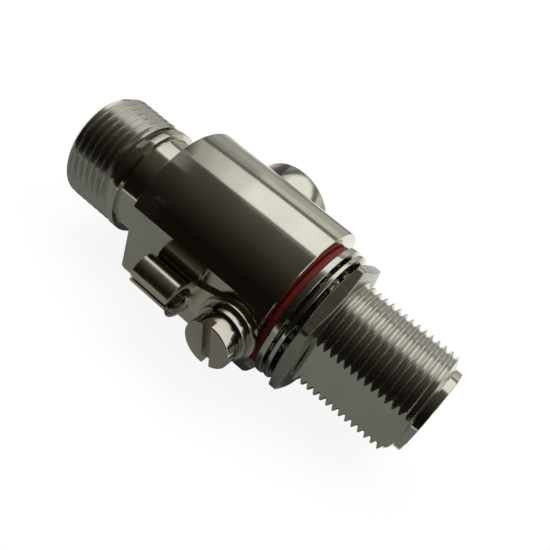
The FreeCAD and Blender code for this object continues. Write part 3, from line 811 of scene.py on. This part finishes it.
def make_floor():
    """Floor under the object: its glow and the lamps' light make it white, and shade keeps it pale."""
    level = min(cad_low.z, -BARREL_RADIUS * MM)
    bm = bmesh.new()
    bmesh.ops.create_grid(bm, x_segments=1, y_segments=1, size=STUDIO_REACH)
    mesh = bpy.data.meshes.new("floor")
    bm.to_mesh(mesh)
    bm.free()
    floor = bpy.data.objects.new("floor", mesh)
    floor.location = (0, 0, level)
    material = new_material("pale_floor")
    tree = material.node_tree
    shader = plain(material, Roughness=0.9, Base_Color=(*grey(FLOOR_TONE), 1))
    output = tree.nodes["Material Output"]
    glow = tree.nodes.new("ShaderNodeEmission")
    glow.inputs["Color"].default_value = (1, 1, 1, 1)
    scaled = tree.nodes.new("ShaderNodeMath")
    scaled.operation = "MULTIPLY"
    scaled.inputs[1].default_value = FLOOR_GLOW
    tree.links.new(seen_by_eye_or_metal(tree), scaled.inputs[0])
    tree.links.new(scaled.outputs[0], glow.inputs["Strength"])
    both = tree.nodes.new("ShaderNodeAddShader")
    tree.links.new(shader.outputs["BSDF"], both.inputs[0])
    tree.links.new(glow.outputs["Emission"], both.inputs[1])
    tree.links.new(both.outputs[0], output.inputs["Surface"])
    mesh.materials.append(material)
    bpy.context.scene.collection.objects.link(floor)


def make_world():
    """White surroundings for the camera and for reflections, dim as a light."""
    world = bpy.data.worlds.new("studio")
    world.use_nodes = True
    tree = world.node_tree
    background = tree.nodes["Background"]
    background.inputs["Color"].default_value = (1, 1, 1, 1)
    level = tree.nodes.new("ShaderNodeMapRange")
    level.inputs["To Min"].default_value = WORLD_LIGHT
    level.inputs["To Max"].default_value = 1.0
    tree.links.new(seen_by_eye_or_metal(tree), level.inputs["Value"])
    tree.links.new(level.outputs["Result"], background.inputs["Strength"])
    bpy.context.scene.world = world


def make_lamp(name, angle, distance, width, length, power, colour):
    """A soft lamp round the X axis at an angle from +Y towards +Z. The metal reflects the cards instead."""
    lamp = bpy.data.lights.new(name, "AREA")
    lamp.shape = "RECTANGLE"
    lamp.size = length
    lamp.size_y = width
    lamp.energy = power
    lamp.color = colour
    place = at(AXIS_X, Vector(), 0, distance, math.radians(angle))
    holder = bpy.data.objects.new(name, lamp)
    back = place.normalized()
    right = Vector((1, 0, 0))
    up = back.cross(right)
    holder.matrix_world = Matrix.Translation(place) @ Matrix((right, up, back)).transposed().to_4x4()
    holder.visible_glossy = False
    bpy.context.scene.collection.objects.link(holder)


def make_camera():
    """Camera at the photograph's place: its frame was cropped, so the lens is shifted."""
    place = Vector((17.222, -60.503, 65.152)) * MM
    right = Vector((0.75387, 0.57602, 0.31603)).normalized()
    forward = Vector((-0.16513, 0.63167, -0.75745)).normalized()
    up = right.cross(forward)
    frame_width = 550
    focal_pixels = 682.67
    centre_x, centre_y = 290.02, 343.11
    data = bpy.data.cameras.new("camera")
    data.sensor_width = 36
    data.lens = focal_pixels / frame_width * data.sensor_width
    data.shift_x = (frame_width / 2 - centre_x) / frame_width
    data.shift_y = (centre_y - frame_width / 2) / frame_width
    data.clip_start = 0.005
    data.clip_end = 20
    camera = bpy.data.objects.new("camera", data)
    turn = Matrix((right, up, -forward)).transposed().to_4x4()
    camera.matrix_world = Matrix.Translation(place) @ turn
    bpy.context.scene.collection.objects.link(camera)
    bpy.context.scene.camera = camera


make_floor()
make_world()
for column, (sides, cards) in enumerate(CARD_COLUMNS):
    for index, (low_angle, high_angle, low_tone, high_tone, warmth) in enumerate(cards):
        strips = 1 if low_tone == high_tone else GRADED_STRIPS
        for strip in range(strips):
            edges = [low_angle + (high_angle - low_angle) * (strip + end) / strips for end in (0, 1)]
            tone = low_tone * (high_tone / low_tone) ** ((strip + 0.5) / strips)
            colour = (tone, tone * (1 - warmth / 2), tone * (1 - warmth))
            curved_card(f"card_{column}_{index}_{strip}", *edges, sides, colour)
for index, (sides, edges, tone) in enumerate(FLOOR_CARDS):
    rows = [(edge, FLOOR_CARD_LEVEL + index * FLOOR_CARD_STEP) for edge in edges]
    card(f"floor_card_{index}", rows, sides, (tone, tone, tone * (1 - FLOOR_CARD_WARMTH)))
make_lamp("key", angle=74, distance=0.45, width=0.30, length=1.2, power=2.0, colour=(1.0, 0.96, 0.88))
make_lamp("fill", angle=140, distance=0.8, width=0.8, length=0.8, power=0.05, colour=(1.0, 1.0, 1.0))
make_camera()
bpy.context.scene.view_settings.view_transform = "Standard"
bpy.context.view_layer.update()
